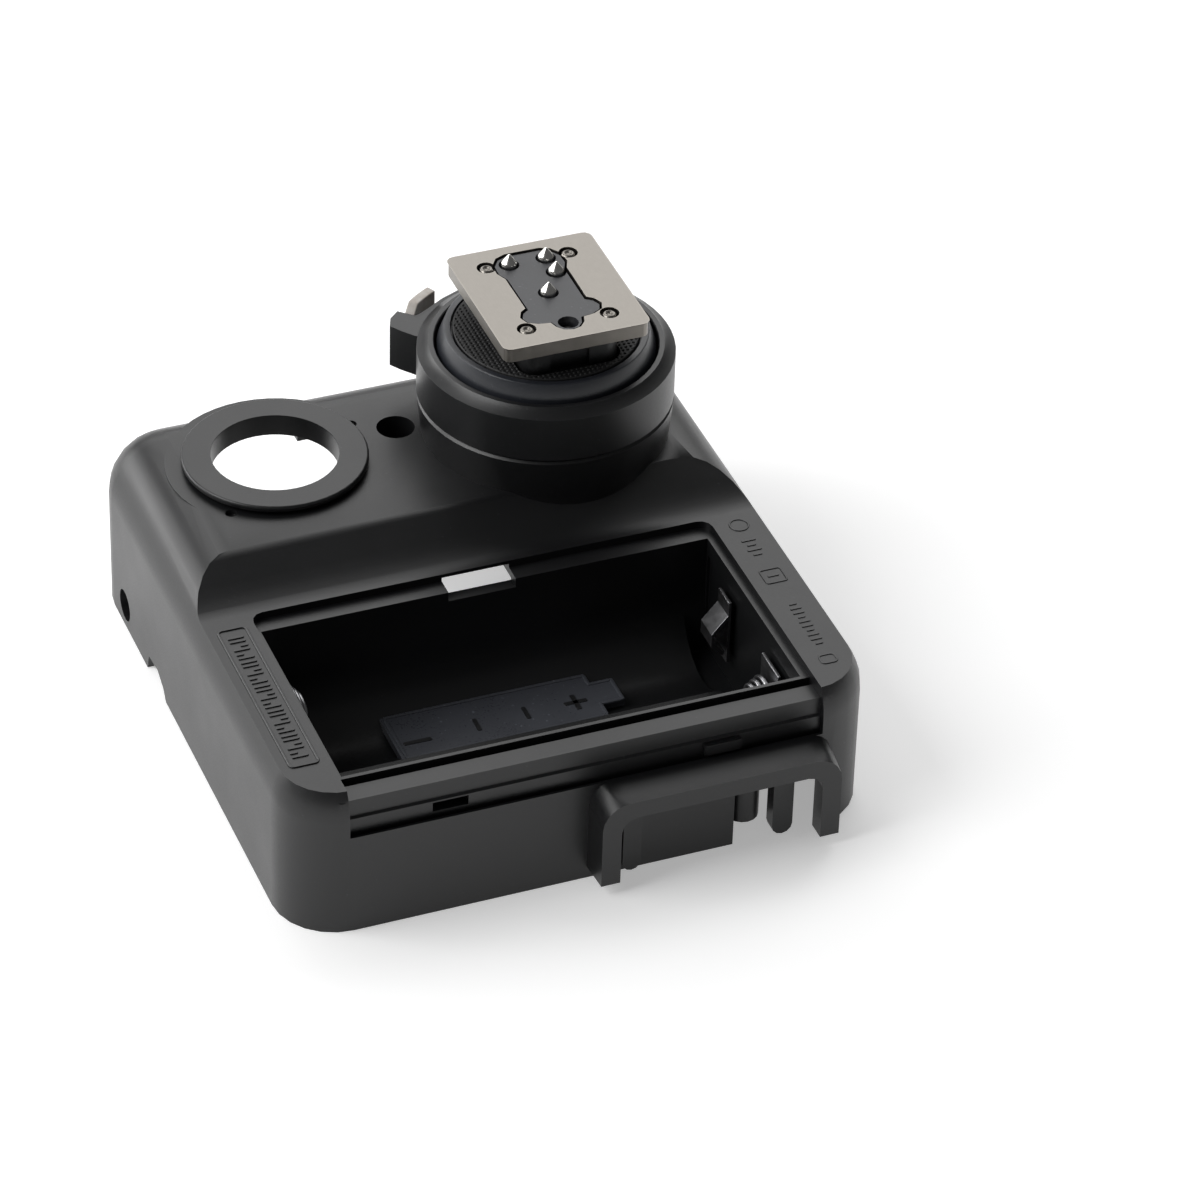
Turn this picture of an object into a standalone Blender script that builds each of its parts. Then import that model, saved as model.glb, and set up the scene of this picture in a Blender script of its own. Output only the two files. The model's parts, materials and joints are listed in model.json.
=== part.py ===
"""Lower housing of a two-cell wireless flash trigger, standing on its open rim with the hot-shoe foot up.

Dimensions are in millimetres, and solid() turns them into metres. X runs along the cells, Y from the
window arch to the rear wall, and Z up. Places are measured from the case's front left corner, and the
datum empty puts the middle of the whole part's footprint at the origin.
"""

import math

import bmesh
import bpy
from mathutils import Vector

MM = 0.001

# Case
CASE_WIDTH = 73.2
CASE_DEPTH = 76.8
CORNER_RADIUS = 7.6
TOP_FILLET = 7.5
WALL_TOP = 16.0
DECK = WALL_TOP + TOP_FILLET
LOW_DECK = 19.9
DECK_EDGE_Y = 45.05
STEP_FOOT_Y = 36.9
WALL = 2.0
CORNER_STEPS = 6
BELOW = -3.0
ABOVE = 60.0

# Arch hood on the front wall, and the window behind it
ARCH_REACH = 4.0
ARCH_LEFT = 36.7
ARCH_RIGHT = 66.9
ARCH_TOP = 13.2
ARCH_ROOT_TOP = 14.3
ARCH_FOOT = 1.6
ARCH_ROUNDING = 3.4
ARCH_LEG = 2.4
LEG_BACK = -1.6
WINDOW_TOP = 10.9
WINDOW_LEFT = 55.0

# Opening in the rear wall
REAR_LEFT = 11.0
REAR_RIGHT = 50.0
REAR_TOP = 17.6
REAR_TAB = (26.0, 29.3)
REAR_TAB_FOOT = 15.2

# Battery bay
BAY = (7.74, 64.9, 5.1, 34.2)
BAY_WALL = 1.6
BAY_FLOOR = 3.0
BAY_UNDERSIDE = 0.8
RIDGE_TOP = 7.0
BAY_END_POCKET = 2.9
BAY_END_FLOOR = 2.6
BAY_END_TOP = 16.6
CELL_AXIS_Z = 11.1
CELL_PITCH = (BAY[3] - BAY[2]) / 2
FRONT_CELL_Y = BAY[2] + CELL_PITCH / 2
BACK_CELL_Y = BAY[3] - CELL_PITCH / 2
SEAT = 18.9
SEAT_LEFT = 7.1
SEAT_RIGHT = 65.9
SEAT_BACK = 36.6
TONGUE_SLOT = (31.4, 40.0, 17.6, 19.4)

# Dial hole and the small openings
DIAL_CENTRE = (18.42, 60.7)
DIAL_HOLE = 9.2
DIAL_BOSS = 13.5
RING_INNER = 7.85
RING_OUTER = 11.5
RING_TOP = 24.75
RING_BOTTOM = 24.0
SCREW_WELL = (34.7, 62.6)
SCREW_WELL_RADIUS = 2.4
JACK_Y = 64.7
JACK_Z = 3.1
JACK_RADIUS = 2.1

# Foot tower, measured from its own axis
TOWER = (52.4, 57.5)
TOWER_TOP = 28.7
TOWER_RADIUS = 15.9
TOWER_FOOT_RADIUS = 15.4
TOWER_BORE = 13.4
TOWER_PLATE = 26.7
HUB_RADIUS = 12.4
HUB_TOP = 31.9
HUB_BORE = 10.65
CLIP_GROOVE_RADIUS = 11.4

# Hot-shoe foot
PLATE_HALF_WIDTH = 9.3
PLATE_HALF_LENGTH = 10.45
PLATE_TOP = 43.16
PLATE_THICKNESS = 2.0
PLATE_BOTTOM = PLATE_TOP - PLATE_THICKNESS
NECK_HALF_WIDTH = 6.2
NECK_HALF_LENGTH = 9.2
GAP = 0.3
INSULATOR_HALF = [
    (0, 8.8), (2.2, 8.8), (3.4, 8.3), (4.2, 7.1), (4.3, 5.4), (3.7, 4.0), (3.65, -3.0), (4.5, -3.6),
    (4.95, -4.6), (4.6, -5.6), (3.5, -6.2), (1.9, -6.45), (1.55, -7.6), (0.9, -8.35), (0, -8.6),
]
SYNC_PIN = (0.0, -0.25)
DATA_PINS = [(-2.4, 7.0), (2.4, 7.0), (2.5, 3.7)]
LOCK_PIN = (0.0, -7.05)
RIVETS = [(-5.35, 7.0), (5.35, 7.0), (-5.35, -7.0), (5.35, -7.0)]
PIN_RADIUS = 1.0
PIN_COLLAR = 1.25
PIN_BORE = 1.55
BORE_STEP = 39.2
BOARD_TOP = 31.4

# Lock ring
LEVER_OUTLINE = [
    (149.0, 16.2), (146.5, 18.4), (144.6, 19.9), (140.0, 20.35), (134.9, 20.2), (134.5, 17.8),
    (131.5, 17.4), (127.0, 17.2), (118.0, 17.2), (106.0, 17.3), (104.5, 16.2),
]
LEVER_BOTTOM = 28.3
LEVER_TOP = 34.1

FINISHES = {
    "case": ((0.035, 0.036, 0.039), 0.5, 0.0),
    "ring": ((0.045, 0.046, 0.050), 0.38, 0.0),
    "disc": ((0.055, 0.057, 0.064), 0.33, 0.0),
    "insulator": ((0.075, 0.077, 0.085), 0.45, 0.0),
    "pad": ((0.012, 0.012, 0.013), 0.75, 0.0),
    "tab": ((0.42, 0.36, 0.30), 0.5, 0.0),
    "nickel": ((0.62, 0.58, 0.54), 0.32, 1.0),
    "pin": ((0.82, 0.81, 0.78), 0.2, 1.0),
    "steel": ((0.55, 0.55, 0.56), 0.3, 1.0),
    "board": ((0.02, 0.10, 0.05), 0.5, 0.0),
}


# ---- outlines ----


def arc(centre, radius, start, end, steps):
    """Points of an arc, with angles in degrees."""
    angles = [math.radians(start + (end - start) * i / steps) for i in range(steps + 1)]
    return [(centre[0] + radius * math.cos(a), centre[1] + radius * math.sin(a)) for a in angles]


def rounded_rectangle(left, right, front, back, radius, steps=CORNER_STEPS):
    corners = [(right, front, -90), (right, back, 0), (left, back, 90), (left, front, 180)]
    points = []
    for x, y, start in corners:
        centre = (
            x - radius if x == right else x + radius,
            y - radius if y == back else y + radius,
        )
        points += arc(centre, radius, start, start + 90, steps)
    return points


def polar(points):
    """Points given as an angle in degrees and a radius."""
    return [(r * math.cos(math.radians(a)), r * math.sin(math.radians(a))) for a, r in points]


def bezier(start, middle, end, steps):
    points = []
    for i in range(steps + 1):
        t = i / steps
        a, b, c = (1 - t) ** 2, 2 * t * (1 - t), t * t
        points.append(tuple(a * p + b * q + c * r for p, q, r in zip(start, middle, end)))
    return points


def offset(points, distance):
    """A closed outline moved outwards, for one that runs clockwise or counterclockwise."""
    count = len(points)
    area = sum(points[i - 1][0] * points[i][1] - points[i][0] * points[i - 1][1] for i in range(count))
    side = math.copysign(distance, area)
    moved = []
    for i, point in enumerate(points):
        before = Vector(point) - Vector(points[i - 1])
        after = Vector(points[(i + 1) % count]) - Vector(point)
        first = Vector((before.y, -before.x)).normalized()
        second = Vector((after.y, -after.x)).normalized()
        middle = (first + second).normalized()
        moved.append(tuple(Vector(point) + middle * side / max(middle.dot(first), 0.5)))
    return moved


def insulator_outline():
    return INSULATOR_HALF + [(-x, y) for x, y in reversed(INSULATOR_HALF[1:-1])]


# ---- solids ----


def loft(rings):
    """A closed solid through rings of points that all have the same count."""
    bm = bmesh.new()
    rows = [[bm.verts.new(point) for point in ring] for ring in rings]
    for low, high in zip(rows, rows[1:]):
        for i in range(len(low)):
            bm.faces.new((low[i - 1], low[i], high[i], high[i - 1]))
    bm.faces.new(rows[0])
    bm.faces.new(rows[-1])
    bmesh.ops.recalc_face_normals(bm, faces=bm.faces)
    return bm


def prism(outline, low, high, axis="Z"):
    """An outline extruded along an axis; the outline's plane keeps the order X, Y, Z."""
    place = {
        "X": lambda p, d: (d, p[0], p[1]),
        "Y": lambda p, d: (p[0], d, p[1]),
        "Z": lambda p, d: (p[0], p[1], d),
    }[axis]
    return loft([[place(point, depth) for point in outline] for depth in (low, high)])


def block(x, y, z):
    return prism([(x[0], y[0]), (x[1], y[0]), (x[1], y[1]), (x[0], y[1])], z[0], z[1])


def turned(profile, steps=48, centre=(0, 0)):
    """A profile of (radius, height) points, closed on itself, spun about a vertical axis."""
    bm = bmesh.new()
    points = [bm.verts.new((centre[0] + r, centre[1], z)) for r, z in profile]
    edges = [bm.edges.new((points[i - 1], points[i])) for i in range(len(points))]
    bmesh.ops.spin(
        bm, geom=points + edges, cent=(*centre, 0), axis=(0, 0, 1), angle=math.tau, steps=steps,
        use_merge=True,
    )
    bmesh.ops.remove_doubles(bm, verts=bm.verts, dist=1e-4)
    bmesh.ops.recalc_face_normals(bm, faces=bm.faces)
    return bm


def rod(radius, low, high, steps=24, centre=(0, 0)):
    return prism(arc(centre, radius, 0, 360 * (1 - 1 / steps), steps - 1), low, high)


def lying_rod(radius, low, high, centre, steps=24):
    """A rod along X, with its centre as (Y, Z)."""
    return prism(arc(centre, radius, 0, 360 * (1 - 1 / steps), steps - 1), low, high, "X")


def pin_solid(profile, steps=16):
    """A turned pin whose profile runs down its outside from a point or a face on the axis."""
    rings = [
        [(r * math.cos(a), r * math.sin(a), z) for a in (math.tau * i / steps for i in range(steps))]
        for r, z in reversed(profile)
    ]
    return loft(rings)


def together(*parts):
    """Several closed solids that don't meet, in one mesh, for use as a cutter."""
    whole = bmesh.new()
    for part in parts:
        mesh = bpy.data.meshes.new("piece")
        part.to_mesh(mesh)
        part.free()
        whole.from_mesh(mesh)
        bpy.data.meshes.remove(mesh)
    return whole


# ---- objects ----


def clear_scene():
    for obj in list(bpy.data.objects):
        bpy.data.objects.remove(obj, do_unlink=True)


def finish(name):
    if name in bpy.data.materials:
        return bpy.data.materials[name]
    colour, roughness, metallic = FINISHES[name]
    material = bpy.data.materials.new(name)
    material.use_nodes = True
    shader = material.node_tree.nodes["Principled BSDF"]
    shader.inputs["Base Color"].default_value = (*colour, 1)
    shader.inputs["Roughness"].default_value = roughness
    shader.inputs["Metallic"].default_value = metallic
    material.diffuse_color = (*colour, 1)
    return material


def empty(name, place, parent=None):
    obj = bpy.data.objects.new(name, None)
    obj.location = Vector(place) * MM
    obj.parent = parent
    bpy.context.scene.collection.objects.link(obj)
    return obj


def solid(name, bm, parent, material=None, place=(0, 0, 0)):
    """Turns a mesh in millimetres into an object in metres, whose origin is its place."""
    bmesh.ops.scale(bm, vec=(MM, MM, MM), verts=bm.verts)
    mesh = bpy.data.meshes.new(name)
    bm.to_mesh(mesh)
    bm.free()
    mesh.shade_smooth()
    mesh.set_sharp_from_angle(angle=math.radians(35))
    if material:
        mesh.materials.append(finish(material))
    obj = bpy.data.objects.new(name, mesh)
    obj.parent = parent
    obj.location = Vector(place) * MM
    bpy.context.scene.collection.objects.link(obj)
    return obj


def combine(target, operation, name, bm, parent):
    """Adds a Boolean whose tool is left out of the part."""
    tool = solid(name, bm, parent)
    tool.hide_render = True
    tool.display_type = "WIRE"
    modifier = target.modifiers.new(name, "BOOLEAN")
    modifier.operation = operation
    modifier.solver = "EXACT"
    modifier.object = tool
    return tool


def cut(target, name, bm, parent):
    return combine(target, "DIFFERENCE", name, bm, parent)


def join(target, name, bm, parent):
    return combine(target, "UNION", name, bm, parent)


def coil(name, parent, place, radii, height, turns, wire, axis="Z"):
    """A coil spring: a round wire on a helix that may narrow towards its far end."""
    per_turn = 10
    count = int(turns * per_turn)
    points = []
    for i in range(count + 1):
        t = i / count
        angle = math.tau * turns * t
        radius = radii[0] + (radii[1] - radii[0]) * t
        flat = (radius * math.cos(angle), radius * math.sin(angle))
        rise = wire + (height - 2 * wire) * t
        points.append((*flat, rise) if axis == "Z" else (rise, *flat))
    curve = bpy.data.curves.new(name, "CURVE")
    curve.dimensions = "3D"
    curve.bevel_depth = wire * MM
    curve.bevel_resolution = 1
    curve.use_fill_caps = True
    spline = curve.splines.new("POLY")
    spline.points.add(count)
    for target, point in zip(spline.points, points):
        target.co = (*(Vector(point) * MM), 1)
    curve.materials.append(finish("steel"))
    obj = bpy.data.objects.new(name, curve)
    obj.parent = parent
    obj.location = Vector(place) * MM
    bpy.context.scene.collection.objects.link(obj)
    return obj


# ---- the case ----


def case_levels(inset, low):
    """Rings of the case's outline from its rim up over the top fillet, drawn in by an inset."""
    fillet = TOP_FILLET - inset
    levels = [(inset, low), (inset, WALL_TOP)]
    steps = 8
    for i in range(1, steps + 1):
        angle = math.pi / 2 * i / steps
        levels.append((inset + fillet * (1 - math.cos(angle)), WALL_TOP + fillet * math.sin(angle)))
    rings = []
    for inward, z in levels:
        outline = rounded_rectangle(
            inward, CASE_WIDTH - inward, inward, CASE_DEPTH - inward, CORNER_RADIUS - inward,
        )
        rings.append([(x, y, z) for x, y in outline])
    return rings


def step_profile(forward, down):
    """Side view of the space in front of the raised deck: low deck, concave foot and slope."""
    foot = bezier(
        (STEP_FOOT_Y, LOW_DECK), (STEP_FOOT_Y + 1.6, LOW_DECK), (STEP_FOOT_Y + 4.4, LOW_DECK + 1.55), 5,
    )
    slope_rise = (DECK - foot[-1][1]) / (DECK_EDGE_Y - foot[-1][0])
    past = (DECK_EDGE_Y + 5.0, DECK + 5.0 * slope_rise)
    shape = [(-20, LOW_DECK), *foot, past]
    moved = [(y + forward, z - down) for y, z in shape]
    return [*moved, (past[0], ABOVE), (-20, ABOVE)]


def add_tower(shell, datum):
    tower = [
        (HUB_RADIUS, HUB_TOP), (HUB_RADIUS, 31.5), (CLIP_GROOVE_RADIUS, 31.5),
        (CLIP_GROOVE_RADIUS, 30.4), (HUB_RADIUS, 30.4), (HUB_RADIUS, TOWER_TOP),
        (TOWER_RADIUS - 0.3, TOWER_TOP), (TOWER_RADIUS, TOWER_TOP - 0.3), (TOWER_FOOT_RADIUS, DECK),
        (TOWER_FOOT_RADIUS, 20.6),
    ]
    join(shell, "tower_body", pin_solid_at(tower, 56, TOWER), datum)


def pin_solid_at(profile, steps, centre):
    bm = pin_solid(profile, steps)
    bmesh.ops.translate(bm, verts=bm.verts, vec=(*centre, 0))
    return bm


def arch_outline(left, right, top, rounding):
    """Front view of the arch: two legs and a lintel, with rounded corners outside and inside."""
    inner = rounding - 1.5
    inner_left = ARCH_LEFT + ARCH_LEG
    inner_right = ARCH_RIGHT - ARCH_LEG
    return [
        *arc((right - rounding, top - rounding), rounding, 0, 90, 5),
        *arc((left + rounding, top - rounding), rounding, 90, 180, 5),
        (left, ARCH_FOOT), (inner_left, ARCH_FOOT),
        *arc((inner_left + inner, WINDOW_TOP - inner), inner, 180, 90, 3),
        *arc((inner_right - inner, WINDOW_TOP - inner), inner, 90, 0, 3),
        (inner_right, ARCH_FOOT), (right, ARCH_FOOT),
    ]


def add_arch(shell, datum):
    front = arch_outline(ARCH_LEFT, ARCH_RIGHT, ARCH_TOP, ARCH_ROUNDING)
    root = arch_outline(ARCH_LEFT - 0.3, ARCH_RIGHT + 0.3, ARCH_ROOT_TOP, ARCH_ROUNDING)
    hood = loft([[(x, y, z) for x, z in outline] for outline, y in ((front, -ARCH_REACH), (root, 1.0))])
    join(shell, "arch_hood", hood, datum)


def hollow_out(shell, datum):
    hollow = cut(shell, "hollow", loft(case_levels(WALL, BELOW)), datum)
    cut(hollow, "hollow_step", prism(step_profile(1.0, WALL), -20, CASE_WIDTH + 20, "X"), datum)
    bore = [
        (HUB_BORE, HUB_TOP + 1), (HUB_BORE, TOWER_PLATE), (TOWER_BORE, TOWER_PLATE), (TOWER_BORE, BELOW),
    ]
    cut(shell, "tower_bore", pin_solid_at(bore, 48, TOWER), datum)


def add_bay(shell, datum):
    left, right, front, back = BAY
    outer = block(
        (left - BAY_WALL, right + BAY_WALL), (front - BAY_WALL, back + BAY_WALL),
        (BAY_UNDERSIDE, SEAT - 0.4),
    )
    join(shell, "bay_block", outer, datum)
    join(shell, "ledge_block", block((SEAT_LEFT - 1.0, SEAT_RIGHT + 1.0), (0.6, front), (11.7, 18.6)), datum)
    troughs = []
    for centre in (FRONT_CELL_Y, BACK_CELL_Y):
        for i in range(13):
            angle = math.pi * (1 + i / 12)
            y = centre + CELL_PITCH / 2 * math.cos(angle)
            z = CELL_AXIS_Z + (CELL_AXIS_Z - BAY_FLOOR) * math.sin(angle)
            on_ridge = abs(y - (front + back) / 2) < CELL_PITCH / 3 and z > RIDGE_TOP
            if not on_ridge:
                troughs.append((y, z))
    cavity = [*troughs, (back, ABOVE), (front, ABOVE)]
    cut(shell, "bay_cavity", prism(cavity, left, right, "X"), datum)
    deep, high = (front + 2.1, back - 0.4), (BAY_END_FLOOR, BAY_END_TOP)
    ends = together(
        block((left - GAP, left + BAY_END_POCKET), deep, high),
        block((right - BAY_END_POCKET, right + GAP), deep, high),
    )
    cut(shell, "bay_ends", ends, datum)


def cut_door_seat(shell, datum):
    """The seat round the bay, and the stepped ledge that the door latches on in front of it."""
    seat = rounded_rectangle(SEAT_LEFT, SEAT_RIGHT, 4.62, SEAT_BACK, 1.6, 3)
    cut(shell, "door_seat", prism(seat, SEAT, ABOVE), datum)
    ledge = [
        (-9, 13.8), (0.35, 13.8), (0.35, 13.2), (0.85, 13.2), (0.85, 15.9), (1.2, 16.1), (1.2, 18.4),
        (3.8, 18.4), (3.8, 17.4), (4.62, 17.4), (4.62, SEAT), (6.4, SEAT), (6.4, ABOVE), (-9, ABOVE),
    ]
    cut(shell, "latch_ledge", prism(ledge, SEAT_LEFT, SEAT_RIGHT, "X"), datum)


def rear_opening():
    """Back view of the opening for the rear panel, with its small tab at the top."""
    tab_left, tab_right = REAR_TAB
    outline = [
        (REAR_LEFT, BELOW), (REAR_RIGHT, BELOW), (REAR_RIGHT, REAR_TOP), (tab_right, REAR_TOP),
        (tab_right, REAR_TAB_FOOT), (tab_left, REAR_TAB_FOOT), (tab_left, REAR_TOP), (REAR_LEFT + 3.0, REAR_TOP),
        (REAR_LEFT, REAR_TOP - 2.0),
    ]
    return prism(outline, CASE_DEPTH - 5.0, CASE_DEPTH + 3.0, "Y")


def cut_openings(shell, datum):
    x_low, x_high, z_low, z_high = TONGUE_SLOT
    window = rounded_rectangle(WINDOW_LEFT, ARCH_RIGHT, BELOW, WINDOW_TOP, 1.2, 3)
    under_bay = [(2.2, BELOW), (2.2, 5.9), (9.2, 0.2), (9.2, BELOW)]
    holes = together(
        rod(DIAL_HOLE, 18, 30, 40, DIAL_CENTRE),
        block((x_low, x_high), (33.0, 41.0), (z_low, z_high)),
        lying_rod(JACK_RADIUS, -1.0, WALL + 1.0, (JACK_Y, JACK_Z), 20),
        prism([(46.0, BELOW), (56.5, BELOW), (55.0, 2.2), (51.4, 2.6), (49.2, 1.4)], -1.0, WALL + 1.0, "X"),
        rear_opening(),
    )
    cut(shell, "openings", holes, datum)
    cut(shell, "window", prism(window, LEG_BACK, 3.0, "Y"), datum)
    cut(shell, "window_light", prism(under_bay, 59.2, 66.7, "X"), datum)
    cut(shell, "latch_slot", block((17.4, 21.8), (0.5, 2.2), (14.4, 15.7)), datum)


def add_posts(shell, datum):
    posts = together(
        rod(3.6, 7.0, 22.6, 20, SCREW_WELL),
        rod(2.6, 2.0, 21.0, 16, (7.4, 68.6)),
        rod(2.6, 2.0, 21.0, 16, (65.6, 69.6)),
    )
    join(shell, "posts", posts, datum)
    join(shell, "latch_tab", block((51.0, 55.6), (0.2, 1.4), (14.2, 15.6)), datum)


def round_ended(left, right, foot, top):
    """Front view of a bar that hangs down and ends in a half circle."""
    radius = (right - left) / 2
    return [(left, top), *arc(((left + right) / 2, foot + radius), radius, 180, 360, 6), (right, top)]


def add_window_parts(shell, datum):
    """The rib beside the arch's left leg, and the post and the boss that hang in the window."""
    join(shell, "arch_rib", prism(round_ended(40.6, 42.9, 0.4, 11.4), -0.9, 0.6, "Y"), datum)
    join(shell, "window_post", prism(round_ended(59.8, 62.4, 0.4, 11.5), -0.5, 1.3, "Y"), datum)
    join(shell, "window_boss", rod(2.0, 2.6, 12.2, 16, (57.0, 2.35)), datum)


def cut_pilots(shell, datum):
    pilots = [
        rod(0.9, 0.0, 12.0, 12, (7.4, 68.6)),
        rod(0.9, 0.0, 12.0, 12, (65.6, 69.6)),
        rod(SCREW_WELL_RADIUS, 9.0, 30, 20, SCREW_WELL),
    ]
    for angle in (30, 150, 270):
        x, y = polar([(angle, 11.8)])[0]
        pilots.append(rod(0.9, 20.0, 28.2, 12, (TOWER[0] + x, TOWER[1] + y)))
    cut(shell, "pilot_holes", together(*pilots), datum)
    keys = [
        rod(0.75, 22.9, 24.0, 12, (DIAL_CENTRE[0] + x, DIAL_CENTRE[1] + y))
        for x, y in polar([(21, 12.1), (225.6, 12.1)])
    ]
    well_floor = rod(1.0, 5.0, 9.5, 16, SCREW_WELL)
    cut(shell, "ring_keys", together(*keys, well_floor), datum)


def bottom_shell(datum):
    shell = solid("bottom_shell", loft(case_levels(0, 0)), datum, "case")
    cut(shell, "front_step", prism(step_profile(0, 0), -20, CASE_WIDTH + 20, "X"), datum)
    add_tower(shell, datum)
    join(shell, "dial_boss", rod(DIAL_BOSS, 14.0, DECK - 0.1, 48, DIAL_CENTRE), datum)
    add_arch(shell, datum)
    hollow_out(shell, datum)
    add_bay(shell, datum)
    cut_door_seat(shell, datum)
    add_posts(shell, datum)
    cut_openings(shell, datum)
    cut_pilots(shell, datum)
    add_window_parts(shell, datum)


def dial_seat_ring(datum):
    profile = [
        (RING_INNER, RING_TOP), (RING_OUTER - 0.2, RING_TOP), (RING_OUTER, RING_TOP - 0.2),
        (RING_OUTER, RING_BOTTOM), (DIAL_HOLE - GAP, RING_BOTTOM), (DIAL_HOLE - GAP, 21.8),
        (RING_INNER, 21.8),
    ]
    solid("dial_seat_ring", turned(profile), datum, "case", (*DIAL_CENTRE, 0))


# ---- battery contacts ----


def leaf_outline(root, low, high, reach):
    """A contact strip with a springy tongue bent into the bay, seen from the front."""
    thick = 0.4
    middle = (low + high) / 2
    return [
        (root, low), (root, high), (root - thick, high), (root - thick, middle + 2.6),
        (root - reach, middle + 0.2), (root - reach, middle - 1.6), (root - thick - 0.5, low + 1.2),
        (root - thick - 0.2, low + 1.7), (root - reach + 0.45, middle - 1.4), (root - reach + 0.45, middle),
        (root - thick, middle + 1.9), (root - thick, low),
    ]


def battery_contacts(datum):
    left, right = BAY[0] + GAP, BAY[1] - GAP
    back, front = BACK_CELL_Y, FRONT_CELL_Y
    low, high = CELL_AXIS_Z - 4.6, CELL_AXIS_Z + 4.4
    half = 1.7
    back_height, front_height = 1.9, 2.4
    leaf = leaf_outline(right, low, high, 2.5)
    solid("positive_leaf", prism(leaf, back - half, back + half, "Y"), datum, "steel")
    plate = block((right - 0.4, right), (front - 2.6, front + 2.6), (low, high))
    solid("negative_plate", plate, datum, "steel")
    bridge = solid(
        "bridge_contact", block((left, left + 0.4), (front - 4.0, back + 4.0), (low, high)), datum, "steel",
    )
    join(bridge, "bridge_button", lying_rod(2.6, left + 0.2, left + 1.7, (front, CELL_AXIS_Z), 20), datum)
    back_place = (left + 0.4 + GAP, back, CELL_AXIS_Z)
    front_place = (right - 0.4 - GAP - front_height, front, CELL_AXIS_Z)
    coil("back_cell_spring", datum, back_place, (3.7, 2.4), back_height, 2.5, 0.35, "X")
    coil("front_cell_spring", datum, front_place, (1.5, 2.4), front_height, 2.5, 0.3, "X")


# ---- hot-shoe foot ----


def pin_holes(radius, low, high, places, steps=14):
    return [rod(radius, low, high, steps, place) for place in places]


def foot_neck(axis):
    flange = [(13.1, 26.4), (13.1, 24.3)]
    neck = solid("foot_neck", pin_solid(flange, 40), axis, "case")
    column = rounded_rectangle(
        -NECK_HALF_WIDTH, NECK_HALF_WIDTH, -NECK_HALF_LENGTH, NECK_HALF_LENGTH, 2.0, 4,
    )
    join(neck, "neck_column", prism(column, 25.0, PLATE_BOTTOM - GAP), axis)
    screws = [tuple(p) for p in polar([(30, 11.8), (150, 11.8), (270, 11.8)])]
    pins = [SYNC_PIN, *DATA_PINS, LOCK_PIN]
    cutters = together(
        block((-4.35, 4.35), (-8.35, 8.35), (20.0, 32.0)),
        *pin_holes(0.75, 20.0, 45.0, RIVETS, 12),
        *pin_holes(0.9, 20.0, 30.0, screws, 12),
        block((-3.0, 2.0), (-12.0, -8.7), (37.6, 45.0)),
    )
    cut(neck, "neck_pocket", cutters, axis)
    bores = together(
        *pin_holes(PIN_BORE, 31.0, BORE_STEP, pins),
        *pin_holes(0.75, 31.0, 34.5, [(-2.6, -3.4), (2.6, -3.4)], 12),
    )
    cut(neck, "neck_bores", bores, axis)
    cut(neck, "neck_mouths", together(*pin_holes(1.3, 38.0, 45.0, pins)), axis)


def foot_plate(axis):
    bottom = rounded_rectangle(
        -PLATE_HALF_WIDTH, PLATE_HALF_WIDTH, -PLATE_HALF_LENGTH, PLATE_HALF_LENGTH, 0.9, 3,
    )
    top = offset(bottom, -0.2)
    levels = [(bottom, PLATE_BOTTOM), (bottom, PLATE_TOP - 0.2), (top, PLATE_TOP)]
    plate = solid("foot_plate", loft([[(x, y, z) for x, y in ring] for ring, z in levels]), axis, "nickel")
    opening = prism(offset(insulator_outline(), 0.3), PLATE_BOTTOM - 1, PLATE_TOP + 1)
    cut(plate, "plate_opening", opening, axis)
    cut(plate, "rivet_holes", together(*pin_holes(1.2, PLATE_BOTTOM - 1, PLATE_TOP + 1, RIVETS, 16)), axis)


def contact_insulator(axis):
    block_top = PLATE_TOP - 0.2
    insulator = solid(
        "contact_insulator", prism(insulator_outline(), PLATE_BOTTOM, block_top), axis, "insulator",
    )
    pins = together(
        *pin_holes(PIN_RADIUS + GAP, PLATE_BOTTOM - 1, PLATE_TOP + 1, [SYNC_PIN, *DATA_PINS, LOCK_PIN]),
    )
    cut(insulator, "insulator_bores", pins, axis)


def contact_pin(name, spring, place, axis):
    profile = [
        (0.12, 44.5), (PIN_RADIUS, 43.35), (PIN_RADIUS, 38.9), (PIN_COLLAR, 38.9), (PIN_COLLAR, 37.6),
    ]
    solid(name, pin_solid(profile), axis, "pin", (*place, 0))
    coil(spring, axis, (*place, BOARD_TOP + GAP), (0.85, 0.85), 37.3 - BOARD_TOP - GAP, 5, 0.14)


def lock_pin(axis):
    profile = [
        (0.55, 42.0), (0.9, 41.7), (0.9, 36.6), (PIN_COLLAR, 36.6), (PIN_COLLAR, 35.2),
    ]
    solid("lock_pin", pin_solid(profile), axis, "pin", (*LOCK_PIN, 0))
    coil("lock_pin_spring", axis, (*LOCK_PIN, BOARD_TOP + GAP), (0.85, 0.85), 34.9 - BOARD_TOP - GAP, 4, 0.14)


def contact_board(axis):
    board = solid(
        "contact_board", prism(rounded_rectangle(-4.05, 4.05, -8.05, 8.05, 0.6, 2), 30.4, BOARD_TOP), axis,
        "board",
    )
    places = [(-2.6, -3.4), (2.6, -3.4)]
    cut(board, "board_holes", together(*pin_holes(0.75, 29.0, 33.0, places, 12)), axis)
    for i, place in enumerate(places, 1):
        screw("board_screw_%d" % i, axis, place, (29.2, 30.1, 34.0), 1.1, 0.45)


def screw(name, axis, place, heights, head, shank):
    """A screw driven from below: its heights are the head's bottom and top, and the shank's end."""
    low, middle, high = heights
    profile = [
        (shank * 0.5, high), (shank, high - shank * 0.5), (shank, middle), (head, middle),
        (head, low + 0.2), (head - 0.2, low),
    ]
    body = solid(name, pin_solid(profile, 12), axis, "steel", (*place, 0))
    slot = block((-head * 2, head * 2), (-0.15, 0.15), (low - 1, low + 0.35))
    tool = cut(body, name + "_slot", slot, axis)
    tool.location = body.location


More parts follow.
